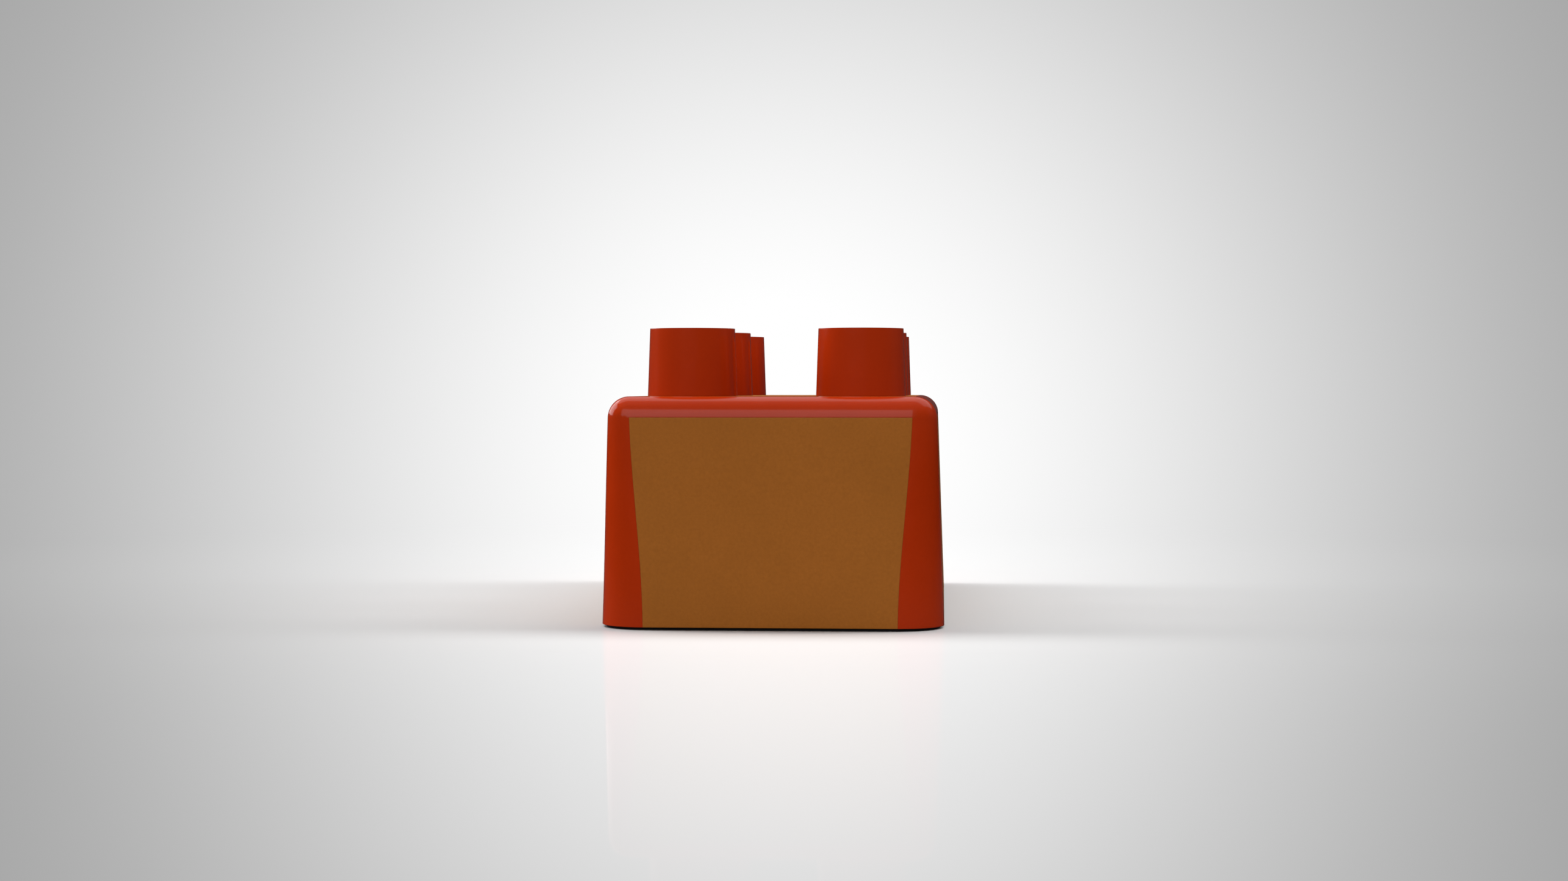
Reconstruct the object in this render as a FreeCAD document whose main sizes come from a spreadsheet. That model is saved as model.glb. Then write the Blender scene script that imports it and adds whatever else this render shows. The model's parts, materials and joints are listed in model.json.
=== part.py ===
import FreeCAD, Part
import math
import os
import sys

import Sketcher

# Stud building block, 2 columns by 3 rows, in millimetres.
# Frame: +X right, +Y to the rear, +Z up. Origin: centre of the footprint, on the surface it rests on.
# A red outer shell carries flush ochre panels in its walls and a flush ochre deck in its roof.
# Hollow tapered studs plug through the deck and the roof, and a black insert closes the base.

os.makedirs("parts", exist_ok=True)
doc = FreeCAD.newDocument("stud_block")

# ---------------------------------------------------------------- sizes
DRIVING = [
    # grid of studs
    ("columns", 2, "studs across the width"),
    ("rows", 3, "studs along the depth"),
    ("column_pitch", 32.0, "stud spacing across the width"),
    ("row_pitch", 38.0, "stud spacing along the depth"),
    ("side_gap", 0.2, "edge of the shell to the edge of its cells"),
    # outer shell
    ("body_height", 42.3, "lower edge of the shell to the top of the deck"),
    ("draft", 2.0, "lean of the outer walls and of the studs, in degrees"),
    ("corner_base", 8.5, "corner radius at the lower edge"),
    ("corner_top", 4.3, "corner radius at the top"),
    ("rim_radius", 4.0, "rounding of the top rim"),
    ("wall", 4.0, "wall, with its panel"),
    ("roof", 4.4, "roof, with the deck"),
    ("cavity_corner", 4.0, "corner radius of the hollow inside"),
    # panels and deck
    ("panel_thickness", 1.6, "panels in the walls"),
    ("deck_thickness", 1.6, "deck in the roof"),
    ("peg_radius", 2.0, "pegs behind the panels and under the deck"),
    ("peg_length", 2.0, "pegs, from the back of their panel"),
    ("peg_fit", 0.1, "radial clearance of a peg in its hole"),
    ("peg_inset", 10.0, "pegs from the edges of their panel"),
    # studs
    ("stud_radius", 8.5, "stud at its foot"),
    ("stud_height", 12.8, "stud above the deck"),
    ("stud_wall", 2.0, "wall and crown of the hollow stud"),
    ("shoulder", 1.2, "step from the foot of the stud to its neck"),
    ("neck_fit", 0.05, "radial clearance of the neck in the roof"),
    # base insert
    ("foot_height", 0.5, "rim of the insert, below the shell"),
    ("foot_inset", 0.8, "edge of the shell to the edge of the rim"),
    ("insert_fit", 0.1, "top of the insert to the wall of the hollow"),
    ("insert_wall", 2.0, "walls of the insert and of its tubes"),
    ("insert_height", 15.0, "walls of the insert above its rim"),
    ("tube_height", 22.0, "clutch tubes above the base"),
    ("rib_height", 13.5, "ribs and grip bars above the base"),
    ("rib_thickness", 1.8, "ribs and grip bars"),
    ("grip_fit", 0.05, "gap round a stud that the insert grips"),
    ("grip_bite", 0.5, "depth of the round seat in a grip bar"),
]
DERIVED = [
    ("lean", "tan(draft * 1deg)", "draft as a slope"),
    ("half_width", "columns * column_pitch / 2 - side_gap", "shell at its lower edge"),
    ("half_depth", "rows * row_pitch / 2 - side_gap", "shell at its lower edge"),
    ("deck_level", "foot_height + body_height", "top of the deck"),
    ("cavity_half_width", "half_width - wall", "hollow at the lower edge"),
    ("cavity_half_depth", "half_depth - wall", "hollow at the lower edge"),
    ("insert_slack", "insert_height * lean + insert_fit", "upright insert in the drafted hollow"),
    ("insert_half_width", "cavity_half_width - insert_slack", "outside of the insert's wall"),
    ("insert_half_depth", "cavity_half_depth - insert_slack", "outside of the insert's wall"),
    ("opening_half_width", "insert_half_width - insert_wall", "inside of the insert's wall"),
    ("opening_half_depth", "insert_half_depth - insert_wall", "inside of the insert's wall"),
    ("opening_corner", "max(cavity_corner - insert_wall; 0.5)", "inside corner of the insert"),
    ("neck_radius", "stud_radius - shoulder", "neck of a stud in the roof"),
    ("bore_radius", "neck_radius - stud_wall", "mouth of the hollow in a stud"),
    ("grip_radius", "stud_radius + grip_fit", "room for a stud of the block below"),
    ("tube_radius", "sqrt(column_pitch ^ 2 + row_pitch ^ 2) / 2 - grip_radius",
     "outside of a tube among four gripped studs"),
]
NAMES = {entry[0] for entry in DRIVING + DERIVED}

sheet = doc.addObject("Spreadsheet::Sheet", "sizes")
for line, (alias, content, note) in enumerate(DRIVING + DERIVED, start=1):
    sheet.set(f"A{line}", note)
    sheet.set(f"B{line}", f"={content}" if isinstance(content, str) else str(content))
    sheet.setAlias(f"B{line}", alias)
doc.recompute()

COLUMNS = int(sheet.columns)
ROWS = int(sheet.rows)
UP = FreeCAD.Vector(0, 0, 1)


# ---------------------------------------------------------------- helpers
def formula(text):
    """The text with the sheet's name put before every size in it."""
    for mark in "()*/+-^;":
        text = text.replace(mark, f" {mark} ")
    words = [f"sizes.{word}" if word in NAMES else word for word in text.split()]
    return " ".join(words)


def value(text):
    return float(sheet.evalExpression(formula(text)))


def bind(thing, name, text):
    thing.setExpression(name, formula(text))


def bind_place(thing, x, y, z):
    for axis, text in zip("xyz", (x, y, z)):
        bind(thing, f"Placement.Base.{axis}", text)


def add(kind, label):
    thing = doc.addObject(kind, label)
    thing.Label = label
    return thing


def new_sketch(body, label, level="0", role="XY_Plane"):
    """A sketch on an origin plane of its own body, at a level above it."""
    sketch = body.newObject("Sketcher::SketchObject", label)
    origin_plane = next(item for item in body.Origin.OriginFeatures if item.Role == role)
    sketch.AttachmentSupport = (origin_plane, [""])
    sketch.MapMode = "FlatFace"
    bind(sketch, "AttachmentOffset.Base.z", level)
    return sketch


def hold(sketch, kind, *where):
    """Add a dimension whose last value is a formula, and bind it."""
    *points, text = where
    index = sketch.addConstraint(Sketcher.Constraint(kind, *points, value(text)))
    sketch.renameConstraint(index, f"size{index}")
    bind(sketch, f"Constraints.size{index}", text)


def hold_point(sketch, edge, point, x, y):
    """Hold a point of an edge at x, y. Zero keeps it on the sketch's own axis."""
    for kind, text, axis_line in (("DistanceX", x, -2), ("DistanceY", y, -1)):
        if text == "0":
            sketch.addConstraint(Sketcher.Constraint("PointOnObject", edge, point, axis_line))
        else:
            hold(sketch, kind, -1, 1, edge, point, text)


def draw_polygon(sketch, corners):
    """A closed outline through corners, each a pair of formulas."""
    points = [FreeCAD.Vector(value(x), value(y), 0) for x, y in corners]
    lines = [
        sketch.addGeometry(Part.LineSegment(start, end))
        for start, end in zip(points, points[1:] + points[:1])
    ]
    for line, following, (x, y) in zip(lines, lines[1:] + lines[:1], corners):
        sketch.addConstraint(Sketcher.Constraint("Coincident", line, 2, following, 1))
        hold_point(sketch, line, 1, x, y)


def draw_bar(sketch, left, right, near, far):
    """A rectangle between two X and two Y formulas."""
    draw_polygon(sketch, [(left, near), (right, near), (right, far), (left, far)])


def draw_circle(sketch, x, y, radius):
    centre = FreeCAD.Vector(value(x), value(y), 0)
    circle = sketch.addGeometry(Part.Circle(centre, UP, value(radius)))
    hold(sketch, "Radius", circle, radius)
    hold_point(sketch, circle, 3, x, y)


def draw_rounded_rectangle(sketch, half_x, half_y, corner):
    """A rounded rectangle centred on the sketch's origin."""
    radius = value(corner)
    inner_x, inner_y = value(half_x) - radius, value(half_y) - radius
    quarters = [(1, 1), (-1, 1), (-1, -1), (1, -1)]
    arcs = []
    for turn, (side_x, side_y) in enumerate(quarters):
        centre = FreeCAD.Vector(side_x * inner_x, side_y * inner_y, 0)
        start = turn * math.pi / 2
        arc = Part.ArcOfCircle(Part.Circle(centre, UP, radius), start, start + math.pi / 2)
        arcs.append(sketch.addGeometry(arc))
    for turn, (arc, following) in enumerate(zip(arcs, arcs[1:] + arcs[:1])):
        ends = sketch.getPoint(arc, 2), sketch.getPoint(following, 1)
        side = sketch.addGeometry(Part.LineSegment(*ends))
        sketch.addConstraint(Sketcher.Constraint("Tangent", side, 1, arc, 2))
        sketch.addConstraint(Sketcher.Constraint("Tangent", side, 2, following, 1))
        direction = "Horizontal" if turn % 2 == 0 else "Vertical"
        sketch.addConstraint(Sketcher.Constraint(direction, side))
        if turn:
            sketch.addConstraint(Sketcher.Constraint("Equal", arcs[0], arc))
    sketch.addConstraint(Sketcher.Constraint("Symmetric", arcs[0], 3, arcs[2], 3, -1, 1))
    hold(sketch, "Radius", arcs[0], corner)
    hold(sketch, "DistanceX", -1, 1, arcs[0], 3, f"{half_x} - ({corner})")
    hold(sketch, "DistanceY", -1, 1, arcs[0], 3, f"{half_y} - ({corner})")


def pad(body, sketch, length):
    feature = body.newObject("PartDesign::Pad", f"{sketch.Name}_pad")
    feature.Profile = sketch
    bind(feature, "Length", length)


def pocket_upwards(body, sketch):
    """Cut the sketch out of everything above it."""
    feature = body.newObject("PartDesign::Pocket", f"{sketch.Name}_pocket")
    feature.Profile = sketch
    feature.Type = "ThroughAll"
    feature.Reversed = True


def column_centre(column):
    """X of a column of studs, counted from the left."""
    return f"({column} - (columns - 1) / 2) * column_pitch"


def row_centre(row):
    """Y of a row of studs, counted from the front."""
    return f"({row} - (rows - 1) / 2) * row_pitch"


STUD_PLACES = [(column, row) for row in range(ROWS) for column in range(COLUMNS)]
GAP_PLACES = [(column + 0.5, row + 0.5) for row in range(ROWS - 1) for column in range(COLUMNS - 1)]


# ---------------------------------------------------------------- outer form
def drafted_block(label, half_x, half_y, height):
    """A sharp block that stands on the shell's lower edge and narrows upwards by the draft."""
    wedge = add("Part::Wedge", label)
    sides = {
        "Xmin": f"-{half_x}", "Xmax": half_x,
        "Ymin": "0", "Ymax": height,
        "Zmin": f"-{half_y}", "Zmax": half_y,
        "X2min": f"-({half_x} - ({height}) * lean)", "X2max": f"{half_x} - ({height}) * lean",
        "Z2min": f"-({half_y} - ({height}) * lean)", "Z2max": f"{half_y} - ({height}) * lean",
    }
    for side, text in sides.items():
        bind(wedge, side, text)
    # a wedge rises along its own Y axis
    wedge.Placement.Rotation = FreeCAD.Rotation(FreeCAD.Vector(1, 0, 0), 90)
    bind_place(wedge, "0", "0", "foot_height")
    doc.recompute()
    return wedge


def rounded(base, label, radii):
    """Round edges of a solid. radii gives an edge's two radii, or nothing for an edge left sharp."""
    fillet = add("Part::Fillet", label)
    fillet.Base = base
    edges = [(number, radii(edge)) for number, edge in enumerate(base.Shape.Edges, start=1)]
    fillet.Edges = [(number, *pair) for number, pair in edges if pair]
    doc.recompute()
    return fillet


def upright_radii(at_base, at_top):
    """Two radii for each upright edge, whichever end of it comes first."""
    def radii(edge):
        start, end = (edge.valueAt(parameter).z for parameter in edge.ParameterRange)
        if abs(start - end) < 1e-4:
            return None
        return (at_base, at_top) if start < end else (at_top, at_base)
    return radii


def rim_radii(edge):
    on_top = all(abs(vertex.Z - sheet.deck_level) < 1e-4 for vertex in edge.Vertexes)
    return (sheet.rim_radius, sheet.rim_radius) if on_top else None


block = drafted_block("block", "half_width", "half_depth", "body_height")
corners = rounded(block, "corners", upright_radii(sheet.corner_base, sheet.corner_top))
form = rounded(corners, "outer_form", rim_radii)

hollow = drafted_block("hollow", "cavity_half_width", "cavity_half_depth", "body_height - roof")
cavity = rounded(hollow, "cavity", upright_radii(sheet.cavity_corner, sheet.cavity_corner))


# ---------------------------------------------------------------- panels and deck
def flat_face_towards(direction):
    """Name of the flat face of the outer form that looks in a direction."""
    for number, face in enumerate(form.Shape.Faces, start=1):
        if isinstance(face.Surface, Part.Plane) and face.normalAt(0, 0).dot(direction) > 0.9:
            return f"Face{number}"
    raise RuntimeError(f"the outer form has no flat face towards {direction}")


def inlay(label, outward, thickness):
    """A plate under one flat face of the outer form, as large as that face."""
    outline = add("PartDesign::SubShapeBinder", f"{label}_face")
    outline.Support = [(form, (flat_face_towards(outward),))]
    plate = add("Part::Extrusion", f"{label}_plate")
    plate.Base = outline
    plate.DirMode = "Custom"
    plate.Dir = -outward
    plate.Solid = True
    bind(plate, "LengthFwd", thickness)
    return plate


def rod(label, inward, radius, length, place):
    """A cylinder that starts at a place and runs inwards."""
    cylinder = add("Part::Cylinder", label)
    bind(cylinder, "Radius", radius)
    bind(cylinder, "Height", length)
    cylinder.Placement.Rotation = FreeCAD.Rotation(UP, inward)
    bind_place(cylinder, *place)
    return cylinder


def wall_surface(half, z):
    """Distance from the middle of the block to the outside of a wall, at height z."""
    return f"({half} - ({z} - foot_height) * lean)"


def wall_peg_places(side, across):
    """Where the pegs of a wall panel leave its back. across is True for the front and the rear."""
    half, span = ("half_depth", "half_width") if across else ("half_width", "half_depth")
    places = []
    for z in ("foot_height + peg_inset", "deck_level - rim_radius - peg_inset"):
        depth = f"{side} * ({wall_surface(half, f'({z})')} - panel_thickness)"
        for hand in (-1, 1):
            along = f"{hand} * ({span} - corner_base - peg_inset)"
            places.append((along, depth, z) if across else (depth, along, z))
    return places


# pegs start this far inside their plate, and holes this far outside the backing
OVERLAP = "0.5"


def pegged(label, plate, inward, places):
    """A plate with its pegs. Returns it and the holes that the pegs need."""
    pegs, holes = [], []
    backset = [f"{-component} * {OVERLAP}" for component in inward]
    for number, place in enumerate(places):
        start = [f"{text} + {back}" for text, back in zip(place, backset)]
        pegs.append(rod(f"{label}_peg_{number}", inward, "peg_radius", f"peg_length + {OVERLAP}", start))
        holes.append(rod(f"{label}_hole_{number}", inward, "peg_radius + peg_fit",
                         f"wall + roof + {OVERLAP}", start))
    piece = add("Part::MultiFuse", label)
    piece.Shapes = [plate] + pegs
    return piece, holes


WALLS = [
    ("front_panel", FreeCAD.Vector(0, -1, 0), -1, True),
    ("rear_panel", FreeCAD.Vector(0, 1, 0), 1, True),
    ("left_panel", FreeCAD.Vector(-1, 0, 0), -1, False),
    ("right_panel", FreeCAD.Vector(1, 0, 0), 1, False),
]
nodes = []
shell_cuts = [cavity]
for name, outward, side, across in WALLS:
    plate = inlay(name, outward, "panel_thickness")
    panel, holes = pegged(name, plate, -outward, wall_peg_places(side, across))
    nodes.append(panel)
    shell_cuts += [plate] + holes

deck_plate = inlay("top_deck", UP, "deck_thickness")
deck_pegs = [
    (column_centre(column), row_centre(row), "deck_level - deck_thickness")
    for column, row in GAP_PLACES
]
deck, holes = pegged("deck_with_pegs", deck_plate, -UP, deck_pegs)
shell_cuts += [deck_plate] + holes

neck_holes = add("Part::MultiFuse", "neck_holes")
neck_holes.Shapes = [
    rod(f"neck_hole_{number}", -UP, "neck_radius + neck_fit", f"roof + 2 * {OVERLAP}",
        (column_centre(column), row_centre(row), f"deck_level + {OVERLAP}"))
    for number, (column, row) in enumerate(STUD_PLACES)
]
top_deck = add("Part::Cut", "top_deck")
top_deck.Base = deck
top_deck.Tool = neck_holes
nodes.append(top_deck)


# ---------------------------------------------------------------- outer shell
shell_tools = add("Part::MultiFuse", "shell_tools")
shell_tools.Shapes = shell_cuts + [neck_holes]
outer_shell = add("Part::Cut", "outer_shell")
outer_shell.Base = form
outer_shell.Tool = shell_tools
nodes.append(outer_shell)


# ---------------------------------------------------------------- studs
def make_stud(label, column, row):
    """A tapered cup, mouth down. Its shoulder sits on the deck and its neck fills the roof."""
    body = add("PartDesign::Body", label)
    profile = new_sketch(body, f"{label}_profile", role="XZ_Plane")
    draw_polygon(profile, [
        ("0", "stud_height"),
        ("stud_radius - stud_height * lean", "stud_height"),
        ("stud_radius", "0"),
        ("neck_radius", "0"),
        ("neck_radius", "-roof"),
        ("bore_radius", "-roof"),
        ("bore_radius - (roof + stud_height - stud_wall) * lean", "stud_height - stud_wall"),
        ("0", "stud_height - stud_wall"),
    ])
    turned = body.newObject("PartDesign::Revolution", f"{label}_turned")
    turned.Profile = profile
    turned.ReferenceAxis = (profile, ["V_Axis"])
    turned.Angle = 360
    bind_place(body, column_centre(column), row_centre(row), "deck_level")
    return body


COLUMN_NAMES = ["left", "right"] if COLUMNS == 2 else [f"column_{number + 1}" for number in range(COLUMNS)]
ROW_NAMES = ["front", "middle", "rear"] if ROWS == 3 else [f"row_{number + 1}" for number in range(ROWS)]
for column, row in STUD_PLACES:
    nodes.append(make_stud(f"stud_{ROW_NAMES[row]}_{COLUMN_NAMES[column]}", column, row))


# ---------------------------------------------------------------- base insert
def make_base_insert():
    """A rim under the shell, a wall inside it, and the tubes, ribs and bars that grip studs."""
    body = add("PartDesign::Body", "base_insert")

    rim = new_sketch(body, "rim_outline")
    draw_rounded_rectangle(rim, "half_width - foot_inset", "half_depth - foot_inset",
                           "corner_base - foot_inset")
    pad(body, rim, "foot_height")

    wall = new_sketch(body, "insert_outline", "foot_height")
    draw_rounded_rectangle(wall, "insert_half_width", "insert_half_depth", "cavity_corner")
    pad(body, wall, "insert_height")

    opening = new_sketch(body, "insert_opening")
    draw_rounded_rectangle(opening, "opening_half_width", "opening_half_depth", "opening_corner")
    pocket_upwards(body, opening)

    bars = new_sketch(body, "grip_bars")
    for hand in (-1, 1):
        edge_column = COLUMNS - 1 if hand > 0 else 0
        edge_row = ROWS - 1 if hand > 0 else 0
        seat_x = f"{column_centre(edge_column)} + {hand} * (grip_radius - grip_bite)"
        seat_y = f"{row_centre(edge_row)} + {hand} * (grip_radius - grip_bite)"
        root_x = f"{hand} * (opening_half_width + insert_wall / 4)"
        root_y = f"{hand} * (opening_half_depth + insert_wall / 4)"
        for row in range(ROWS):
            centre = row_centre(row)
            draw_bar(bars, seat_x, root_x,
                     f"{centre} - rib_thickness / 2", f"{centre} + rib_thickness / 2")
        for column in range(COLUMNS):
            centre = column_centre(column)
            draw_bar(bars, f"{centre} - rib_thickness / 2", f"{centre} + rib_thickness / 2",
                     seat_y, root_y)
    pad(body, bars, "rib_height")

    sockets = new_sketch(body, "stud_sockets")
    for column, row in STUD_PLACES:
        draw_circle(sockets, column_centre(column), row_centre(row), "grip_radius")
    pocket_upwards(body, sockets)

    spines = new_sketch(body, "ribs_along_depth")
    for column in range(COLUMNS - 1):
        centre = column_centre(column + 0.5)
        draw_bar(spines, f"{centre} - rib_thickness / 2", f"{centre} + rib_thickness / 2",
                 "-opening_half_depth - insert_wall / 4", "opening_half_depth + insert_wall / 4")
    pad(body, spines, "rib_height")

    crossings = new_sketch(body, "ribs_across_width")
    for row in range(ROWS - 1):
        centre = row_centre(row + 0.5)
        draw_bar(crossings, "-opening_half_width - insert_wall / 4",
                 "opening_half_width + insert_wall / 4",
                 f"{centre} - rib_thickness / 2", f"{centre} + rib_thickness / 2")
    pad(body, crossings, "rib_height")

    tubes = new_sketch(body, "clutch_tubes")
    bores = new_sketch(body, "tube_bores")
    for column, row in GAP_PLACES:
        draw_circle(tubes, column_centre(column), row_centre(row), "tube_radius")
        draw_circle(bores, column_centre(column), row_centre(row), "tube_radius - insert_wall")
    pad(body, tubes, "tube_height")
    pocket_upwards(body, bores)
    return body


nodes.append(make_base_insert())
doc.recompute()

# ---------------------------------------------------------------- checks and files
for thing in doc.Objects:
    if {"Invalid", "Error"} & set(thing.State):
        sys.exit(f"{thing.Label} failed: {thing.State}")
for node in nodes:
    if node.Shape.isNull() or not node.Shape.isValid() or len(node.Shape.Solids) != 1:
        sys.exit(f"{node.Label} is not one valid solid")
for node in nodes:
    node.Shape.exportStep(f"parts/{node.Label}.step")
    box = node.Shape.BoundBox
    print(f"{node.Label:20s} {node.Shape.Volume:10.1f} mm3  "
          f"x {box.XMin:7.2f} {box.XMax:7.2f}  y {box.YMin:7.2f} {box.YMax:7.2f}  "
          f"z {box.ZMin:6.2f} {box.ZMax:6.2f}")
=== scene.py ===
"""Looks for the stud building block: moulded plastic finishes, a glossy white table and studio light."""

import json
import math

import bpy
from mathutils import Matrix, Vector

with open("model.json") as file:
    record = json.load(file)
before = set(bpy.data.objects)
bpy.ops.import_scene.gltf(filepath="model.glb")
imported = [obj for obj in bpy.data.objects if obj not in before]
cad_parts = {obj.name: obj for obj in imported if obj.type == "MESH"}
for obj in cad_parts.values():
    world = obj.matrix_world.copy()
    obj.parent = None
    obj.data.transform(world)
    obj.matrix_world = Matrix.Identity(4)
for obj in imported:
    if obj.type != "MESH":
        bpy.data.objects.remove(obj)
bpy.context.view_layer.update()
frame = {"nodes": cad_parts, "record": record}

# Sizes are metres in the frame of the part: +X right, +Y back, +Z up, origin under the block's middle.
MM = 0.001

# Camera: in front and slightly to the right, a little above the block's deck.
CAMERA_PLACE = Vector((0.03123, -0.49985, 0.04421))
CAMERA_YAW = math.radians(3.695)
CAMERA_DIP = math.radians(1.216)
LENS = 56.0
SENSOR_WIDTH = 36.0
CLIP_NEAR = 0.01
CLIP_FAR = 200.0

# The table carries the pool below as painted light in its colour and its glow; the world gives it as light.
# The stage is brightest along the aim line and fades with the angle from it. The line starts where the
# photo's camera stands, and it is a constant: it stays put when the view moves.
AIM = Vector((
    -math.sin(CAMERA_YAW) * math.cos(CAMERA_DIP),
    math.cos(CAMERA_YAW) * math.cos(CAMERA_DIP),
    -math.sin(CAMERA_DIP),
))
POOL_PEAK = 1.036
POOL_TANGENT = 0.67
POOL_FALL = 5.44
LEAST_COSINE = 0.01
# Camera rays see the stage get pale again far from the line.
SIDE_RISE = 1.3
SIDE_PALE = 0.88
# Reflections see the pool at this share of its brightness.
MIRRORED_SHARE = 0.05
# The world is nowhere darker than the room: the first level at the horizon and below, and the second
# straight up. The rise starts where the upward part of the direction is the third number.
ROOM_DIM = 0.03
CEILING = 0.15
CEILING_STARTS = 0.45

TABLE_RADIUS = 60.0
TABLE_RIM_POINTS = 96
TABLE_GLOSS = 0.28
TABLE_ALBEDO = 0.93
TABLE_ROUGHNESS = 0.03
# Distances from the block's middle: fully lit by lamps within the first, over a colour that carries the
# painted pool of light; all glow beyond the second, with the painted pool of light as the glow.
TABLE_LIT_TO = 0.10
TABLE_GLOWS_FROM = 0.30
# The table that lights the block by diffuse bounce is at this share of its brightness.
TABLE_BOUNCE = 0.45

# What the lamps face, and how bright each one's face is.
LIGHTS_AIM = Vector((0.0, 0.0, 30 * MM))
OVERHEAD_BANK = 0.66
LEFT_BANK = 1.9
FRONT_BANK = 0.83
TOP_FILL = 2.7
FRONT_FILL = 3.15
LEFT_FILL = 9.6
RIGHT_FILL = 2.5
TABLE_STRIP = 4.8
TABLE_SIDES = 5.6

WHITE = (1.0, 1.0, 1.0)

# Finishes, as linear colours.
RED = (0.380, 0.0255, 0.0022)
OCHRE = (0.330, 0.104, 0.0112)
# Near-black, for the foot under the body: it draws the thin dark line along the base.
BLACK = (0.012, 0.012, 0.013)
PLASTIC_IOR = 1.5

# The range that most of a noise's values lie in, and the parts of it that show flow marks and wear.
MOST_NOISE = (0.30, 0.70)
FLOW_SHOWS = (0.35, 0.65)
WEAR_SHOWS = (0.42, 0.62)

# Sizes of the textures that every plastic has.
FLOW_SIZE = 22 * MM
MOTTLE_SIZE = 3.2 * MM
RIPPLE_SIZE = 9 * MM
RIPPLE_DEPTH = 0.05 * MM
RIPPLE_STRENGTH = 0.30
GRAIN_STRENGTH = 0.35

# What the textures do to the colour, as a factor and a lift: flow between the first two, grain to the
# third, worn edges to the fourth.
DEEPER = (0.95, 0.0)
PALER = (1.04, 0.001)
PITTED = (0.55, 0.0)
RUBBED = (1.18, 0.012)
MOTTLE_EVENS_OUT = 0.35

# The rounding of edges in the shading, and the cosines between the rounded normal and the true one at
# which wear starts and is full. Between the last two, wear shows in patches.
EDGE_ROUNDING = 0.22 * MM
EDGE_SAMPLES = 4
EDGE_UNWORN = 0.995
EDGE_WORN = 0.80
WEAR_LEAST = 0.10
WEAR_MOST = 0.60

# What the textures do to the gloss: the range of roughness, as factors, and what lines and wear add to it.
SMOOTHER = 0.85
ROUGHER = 1.2
LINES_DULL = 0.10
WEAR_DULLS = 0.06
# Scratches: how deep they are against the grain, and how softly their mask starts.
LINES_DEPTH = 0.3
LINE_SOFTNESS = 0.05
# The second set of scratches takes its noise from another place, so that it doesn't repeat the first.
ELSEWHERE = (0.3, 0.7, 0.1)


# ---------------------------------------------------------------- node helpers


def new_tree(owner):
    """The emptied node tree of a material or world."""
    owner.use_nodes = True
    tree = owner.node_tree
    tree.nodes.clear()
    return tree


def add(tree, kind, **values):
    """One node of that kind. Values are set on its inputs by name, or on the node where no input has it."""
    node = tree.nodes.new(kind)
    for name, value in values.items():
        if name in node.inputs:
            node.inputs[name].default_value = value
        else:
            setattr(node, name, value)
    return node


def feed(tree, source, target):
    """A link from an output socket to an input socket."""
    tree.links.new(source, target)


def maths(tree, operation, first, second=0.0, third=0.0, clamp=False):
    """The result socket of a math node. Each term is a number or a socket."""
    node = add(tree, "ShaderNodeMath", operation=operation, use_clamp=clamp)
    for slot, term in zip(node.inputs, (first, second, third)):
        if isinstance(term, (int, float)):
            slot.default_value = term
        else:
            feed(tree, term, slot)
    return node.outputs[0]


def vector_maths(tree, operation, first, second, output="Vector"):
    """The result socket of a vector math node. Each term is a vector or a socket."""
    node = add(tree, "ShaderNodeVectorMath", operation=operation)
    for slot, term in zip(node.inputs, (first, second)):
        if isinstance(term, bpy.types.NodeSocket):
            feed(tree, term, slot)
        else:
            slot.default_value = term
    return node.outputs[output]


def spread(tree, value, low, high, to_low, to_high):
    """A value mapped from one range to another, clamped."""
    node = add(tree, "ShaderNodeMapRange", clamp=True)
    feed(tree, value, node.inputs["Value"])
    for name, number in (("From Min", low), ("From Max", high), ("To Min", to_low), ("To Max", to_high)):
        node.inputs[name].default_value = number
    return node.outputs["Result"]


def mixed(tree, factor, first, second):
    """A colour mixed from two. Each is a colour or a socket."""
    node = add(tree, "ShaderNodeMix", data_type="RGBA", clamp_factor=True)
    for slot, term in ((node.inputs[0], factor), (node.inputs[6], first), (node.inputs[7], second)):
        if isinstance(term, bpy.types.NodeSocket):
            feed(tree, term, slot)
        elif isinstance(term, (int, float)):
            slot.default_value = term
        else:
            slot.default_value = (*term, 1.0)
    return node.outputs[2]


def noise(tree, place, size, detail=2.0, roughness=0.5, stretch=None):
    """Fractal noise whose features are about that size in metres, stretched along the axes if asked."""
    if stretch:
        place = vector_maths(tree, "MULTIPLY", place, stretch)
    node = add(tree, "ShaderNodeTexNoise", Scale=1.0 / size, Detail=detail, Roughness=roughness)
    feed(tree, place, node.inputs["Vector"])
    return node.outputs["Fac"]


# ---------------------------------------------------------------- finishes


def toned(colour, change):
    """A colour changed by a factor and a lift."""
    factor, lift = change
    return tuple(min(1.0, channel * factor + lift) for channel in colour)


def scratches(tree, place, size, along, across, share):
    """A mask of fine short lines: noise stretched along one axis and cut to its peaks."""
    lines = noise(tree, place, size, detail=3.0, roughness=0.6, stretch=(along, across, across))
    return spread(tree, lines, 1.0 - share, 1.0 - share + LINE_SOFTNESS, 0.0, 1.0)


def worn_edges(tree):
    """A mask that is 1 on sharp edges, where a rounded normal leaves the true one, and that normal."""
    rounded = add(tree, "ShaderNodeBevel", samples=EDGE_SAMPLES, Radius=EDGE_ROUNDING)
    true = add(tree, "ShaderNodeNewGeometry")
    normal = rounded.outputs["Normal"]
    agreement = vector_maths(tree, "DOT_PRODUCT", normal, true.outputs["Normal"], "Value")
    return spread(tree, agreement, EDGE_UNWORN, EDGE_WORN, 0.0, 1.0), normal


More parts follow.
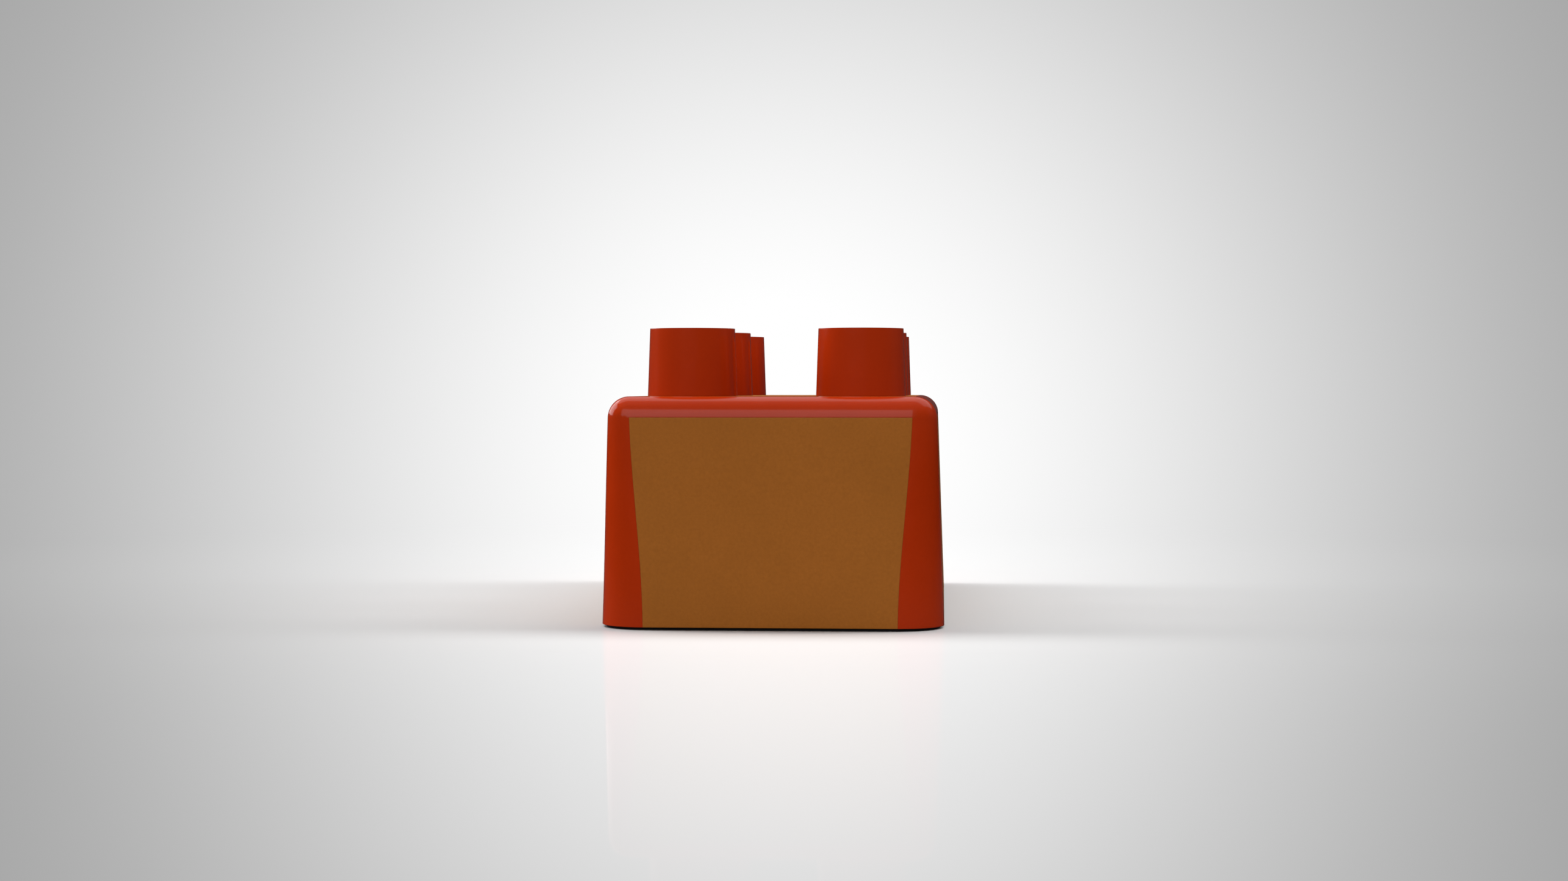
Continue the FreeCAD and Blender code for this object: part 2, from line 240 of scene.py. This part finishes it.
def plastic_colour(tree, colour, flow, mottle, grain, grain_contrast, wear):
    """Flow marks between a deeper and a paler tone, dark pits in the grain and rubbed edges."""
    marks = spread(tree, flow, *FLOW_SHOWS, 0.0, 1.0)
    tone = mixed(tree, marks, toned(colour, DEEPER), toned(colour, PALER))
    evened = mixed(tree, spread(tree, mottle, *MOST_NOISE, 0.0, MOTTLE_EVENS_OUT), tone, colour)
    pits = spread(tree, grain, *MOST_NOISE, grain_contrast, 0.0)
    pitted = mixed(tree, pits, evened, toned(colour, PITTED))
    patches = spread(tree, mottle, *WEAR_SHOWS, WEAR_LEAST, WEAR_MOST)
    return mixed(tree, maths(tree, "MULTIPLY", wear, patches), pitted, toned(colour, RUBBED))


def plastic_roughness(tree, roughness, mottle, lines, scuffed, wear):
    """Gloss that drifts with the mottling and is duller on scratches and worn edges."""
    drift = spread(tree, mottle, *MOST_NOISE, roughness * SMOOTHER, roughness * ROUGHER)
    with_lines = maths(tree, "ADD", drift, maths(tree, "MULTIPLY", lines, LINES_DULL * scuffed))
    return maths(tree, "ADD", with_lines, maths(tree, "MULTIPLY", wear, WEAR_DULLS), clamp=True)


def plastic_normal(tree, place, grain, grain_depth, lines, rounded_normal):
    """The rounded normal with the grain and the scratches in it, and a slow ripple over them."""
    relief = add(tree, "ShaderNodeBump", Strength=GRAIN_STRENGTH, Distance=grain_depth)
    height = maths(tree, "SUBTRACT", grain, maths(tree, "MULTIPLY", lines, LINES_DEPTH))
    feed(tree, height, relief.inputs["Height"])
    feed(tree, rounded_normal, relief.inputs["Normal"])
    ripple = add(tree, "ShaderNodeBump", Strength=RIPPLE_STRENGTH, Distance=RIPPLE_DEPTH)
    feed(tree, noise(tree, place, RIPPLE_SIZE, detail=1.0), ripple.inputs["Height"])
    feed(tree, relief.outputs["Normal"], ripple.inputs["Normal"])
    return ripple.outputs["Normal"]


def plastic(name, colour, roughness, grain_size, grain_depth, grain_contrast, specular, scuffed):
    """Moulded plastic: flow mottling, fine grain, hairline scratches, softened and worn edges."""
    material = bpy.data.materials.new(name)
    tree = new_tree(material)
    place = add(tree, "ShaderNodeTexCoord").outputs["Object"]
    shader = add(tree, "ShaderNodeBsdfPrincipled")
    shader.inputs["Specular IOR Level"].default_value = specular
    shader.inputs["IOR"].default_value = PLASTIC_IOR

    flow = noise(tree, place, FLOW_SIZE, detail=3.0, roughness=0.55)
    mottle = noise(tree, place, MOTTLE_SIZE, detail=4.0, roughness=0.6)
    grain = noise(tree, place, grain_size, detail=3.0, roughness=0.7)
    wear, rounded_normal = worn_edges(tree)
    elsewhere = vector_maths(tree, "ADD", place, ELSEWHERE)
    lines = maths(
        tree, "MAXIMUM",
        scratches(tree, place, 2.6 * MM, along=0.12, across=6.0, share=0.34),
        scratches(tree, elsewhere, 3.1 * MM, along=5.0, across=0.15, share=0.33),
    )

    tint = plastic_colour(tree, colour, flow, mottle, grain, grain_contrast, wear)
    dullness = plastic_roughness(tree, roughness, mottle, lines, scuffed, wear)
    normal = plastic_normal(tree, place, grain, grain_depth, lines, rounded_normal)
    feed(tree, tint, shader.inputs["Base Color"])
    feed(tree, dullness, shader.inputs["Roughness"])
    feed(tree, normal, shader.inputs["Normal"])
    feed(tree, shader.outputs["BSDF"], add(tree, "ShaderNodeOutputMaterial").inputs["Surface"])
    return material


def dress(finishes):
    """Gives every node of the frame the finish of the material slot that the record states for it."""
    for part in frame["record"]["subparts"]:
        slots = frame["nodes"][part["node"]].data.materials
        slots.clear()
        slots.append(finishes[part["material_slot"]])


# ---------------------------------------------------------------- stage


def pool(tree, cosine):
    """Brightness of the stage at an angle from the aim line, given as its cosine.

    A pool of light ahead fades with the angle. Camera rays see a pale level aside on top of it, and
    reflections see everything dimmer.
    """
    path = add(tree, "ShaderNodeLightPath")
    ahead = maths(tree, "MAXIMUM", cosine, LEAST_COSINE)
    squared = maths(tree, "MULTIPLY", ahead, ahead)
    turned = maths(tree, "SUBTRACT", 1.0, squared)
    tangent_squared = maths(tree, "DIVIDE", turned, squared)
    spread_out = maths(tree, "MULTIPLY_ADD", tangent_squared, 1.0 / POOL_TANGENT ** 2, 1.0)
    middle = maths(tree, "DIVIDE", POOL_PEAK, maths(tree, "POWER", spread_out, POOL_FALL))
    pale = maths(tree, "MINIMUM", maths(tree, "MULTIPLY", turned, SIDE_RISE), SIDE_PALE)
    aside = maths(tree, "MULTIPLY", pale, path.outputs["Is Camera Ray"])
    whole = maths(tree, "MINIMUM", maths(tree, "ADD", middle, aside), 1.0)
    share = spread(tree, path.outputs["Is Glossy Ray"], 0.0, 1.0, 1.0, MIRRORED_SHARE)
    return maths(tree, "MULTIPLY", whole, share)


def backdrop():
    """The world: the pool of light on the aim line, in a dim room with a brighter ceiling."""
    world = bpy.data.worlds.new("backdrop")
    bpy.context.scene.world = world
    tree = new_tree(world)
    direction = add(tree, "ShaderNodeTexCoord").outputs["Generated"]
    height = add(tree, "ShaderNodeSeparateXYZ")
    feed(tree, direction, height.inputs[0])
    room = spread(tree, height.outputs["Z"], CEILING_STARTS, 1.0, ROOM_DIM, CEILING)
    ahead = pool(tree, vector_maths(tree, "DOT_PRODUCT", direction, AIM, "Value"))
    glow = add(tree, "ShaderNodeBackground")
    glow.inputs["Color"].default_value = (*WHITE, 1.0)
    feed(tree, maths(tree, "MAXIMUM", ahead, room), glow.inputs["Strength"])
    feed(tree, glow.outputs[0], add(tree, "ShaderNodeOutputWorld").inputs["Surface"])


def blended(tree, factor, first, second):
    """The output of a mix of two shaders. The factor is a number or a socket."""
    mix = add(tree, "ShaderNodeMixShader")
    if isinstance(factor, float):
        mix.inputs[0].default_value = factor
    else:
        feed(tree, factor, mix.inputs[0])
    feed(tree, first, mix.inputs[1])
    feed(tree, second, mix.inputs[2])
    return mix.outputs[0]


def table_material():
    """White gloss sheet whose colour carries a painted pool of light, brightest along the aim line. Near
    the block it is lit and shadowed by lamps over that colour; farther out it glows with the painted pool
    like the backdrop.
    """
    material = bpy.data.materials.new("white_table")
    tree = new_tree(material)
    place = add(tree, "ShaderNodeTexCoord").outputs["Object"]
    from_line_start = vector_maths(tree, "SUBTRACT", place, CAMERA_PLACE)
    direction = vector_maths(tree, "NORMALIZE", from_line_start, (0.0, 0.0, 0.0))
    bounce = add(tree, "ShaderNodeLightPath").outputs["Is Diffuse Ray"]
    # Painted pool of light: brightest along the aim line and fading with the angle from it, it sets the
    # table's colour and its glow.
    level = maths(
        tree, "MULTIPLY",
        pool(tree, vector_maths(tree, "DOT_PRODUCT", direction, AIM, "Value")),
        spread(tree, bounce, 0.0, 1.0, 1.0, TABLE_BOUNCE),
    )

    # The table's colour is the painted pool of light times the albedo.
    tint = add(tree, "ShaderNodeCombineColor")
    for channel in tint.inputs[:3]:
        feed(tree, maths(tree, "MULTIPLY", level, TABLE_ALBEDO), channel)
    body = add(tree, "ShaderNodeBsdfDiffuse")
    feed(tree, tint.outputs[0], body.inputs["Color"])
    mirror = add(tree, "ShaderNodeBsdfGlossy", Roughness=TABLE_ROUGHNESS)
    mirror.inputs["Color"].default_value = (*WHITE, 1.0)
    glow = add(tree, "ShaderNodeEmission")
    feed(tree, level, glow.inputs["Strength"])

    distance = vector_maths(tree, "LENGTH", place, (0.0, 0.0, 0.0), "Value")
    farther = spread(tree, distance, TABLE_LIT_TO, TABLE_GLOWS_FROM, 0.0, 1.0)
    lit = blended(tree, TABLE_GLOSS, body.outputs[0], mirror.outputs[0])
    surface = blended(tree, farther, lit, glow.outputs[0])
    feed(tree, surface, add(tree, "ShaderNodeOutputMaterial").inputs["Surface"])
    return material


def table():
    """A round table top under the block, large enough to meet the backdrop at the horizon."""
    turns = [2 * math.pi * number / TABLE_RIM_POINTS for number in range(TABLE_RIM_POINTS)]
    ring = [(TABLE_RADIUS * math.cos(turn), TABLE_RADIUS * math.sin(turn), 0.0) for turn in turns]
    mesh = bpy.data.meshes.new("table_top")
    mesh.from_pydata(ring, [], [tuple(range(TABLE_RIM_POINTS))])
    mesh.materials.append(table_material())
    top = bpy.data.objects.new("table_top", mesh)
    bpy.context.scene.collection.objects.link(top)
    return top


def softbox(name, place, width, depth, radiance, lit, mirrored=False):
    """A rectangular area light aimed at the block. It lights one collection and shows in gloss if asked."""
    light = bpy.data.lights.new(name, "AREA")
    light.shape = "RECTANGLE"
    light.size = width
    light.size_y = depth
    light.energy = radiance * math.pi * width * depth
    lamp = bpy.data.objects.new(name, light)
    lamp.location = place
    lamp.rotation_euler = (LIGHTS_AIM - Vector(place)).to_track_quat("-Z", "Y").to_euler()
    lamp.visible_camera = False
    lamp.visible_glossy = mirrored
    lamp.light_linking.receiver_collection = lit
    bpy.context.scene.collection.objects.link(lamp)


def group(name, members):
    """A collection that lamps are limited to."""
    collection = bpy.data.collections.new(name)
    for member in members:
        collection.objects.link(member)
    return collection


def lights(block, ground):
    """Three banks that also show in the block's gloss, four fills on it, and the table's own lamps."""
    softbox("overhead_bank", (0.10, 0.48, 0.78), 1.7, 0.85, OVERHEAD_BANK, block, mirrored=True)
    softbox("left_bank", (-0.82, 0.50, 0.46), 0.85, 0.62, LEFT_BANK, block, mirrored=True)
    softbox("front_bank", (-0.42, -1.04, 0.63), 1.08, 0.78, FRONT_BANK, block, mirrored=True)
    softbox("top_fill", (0.0, 0.25, 1.00), 1.5, 1.0, TOP_FILL, block)
    softbox("front_fill", (-0.10, -1.00, 0.60), 0.9, 0.9, FRONT_FILL, block)
    softbox("left_fill", (-1.00, 0.42, 0.40), 0.6, 0.6, LEFT_FILL, block)
    softbox("right_fill", (1.00, 0.20, 0.42), 0.6, 0.6, RIGHT_FILL, block)
    softbox("table_strip", (0.0, 0.20, 1.00), 2.4, 0.50, TABLE_STRIP, ground)
    softbox("table_left", (-0.85, 0.10, 0.60), 0.30, 0.90, TABLE_SIDES, ground)
    softbox("table_right", (0.85, 0.10, 0.60), 0.30, 0.90, TABLE_SIDES, ground)


def camera():
    """The camera that the picture is taken with."""
    data = bpy.data.cameras.new("camera")
    data.lens = LENS
    data.sensor_width = SENSOR_WIDTH
    data.clip_start = CLIP_NEAR
    data.clip_end = CLIP_FAR
    viewer = bpy.data.objects.new("camera", data)
    viewer.location = CAMERA_PLACE
    viewer.rotation_euler = (math.pi / 2 - CAMERA_DIP, 0.0, CAMERA_YAW)
    bpy.context.scene.collection.objects.link(viewer)
    bpy.context.scene.camera = viewer


dress({
    "red_plastic": plastic(
        "moulded_red", RED, roughness=0.11, grain_size=0.50 * MM, grain_depth=0.015 * MM,
        grain_contrast=0.10, specular=0.45, scuffed=0.5,
    ),
    "ochre_plastic": plastic(
        "moulded_ochre", OCHRE, roughness=0.45, grain_size=0.55 * MM, grain_depth=0.04 * MM,
        grain_contrast=0.30, specular=0.2, scuffed=1.0,
    ),
    "black_plastic": plastic(
        "moulded_black", BLACK, roughness=0.35, grain_size=0.50 * MM, grain_depth=0.03 * MM,
        grain_contrast=0.20, specular=0.5, scuffed=1.0,
    ),
})
backdrop()
lights(group("block", frame["nodes"].values()), group("ground", [table()]))
camera()
bpy.context.scene.view_settings.view_transform = "Standard"
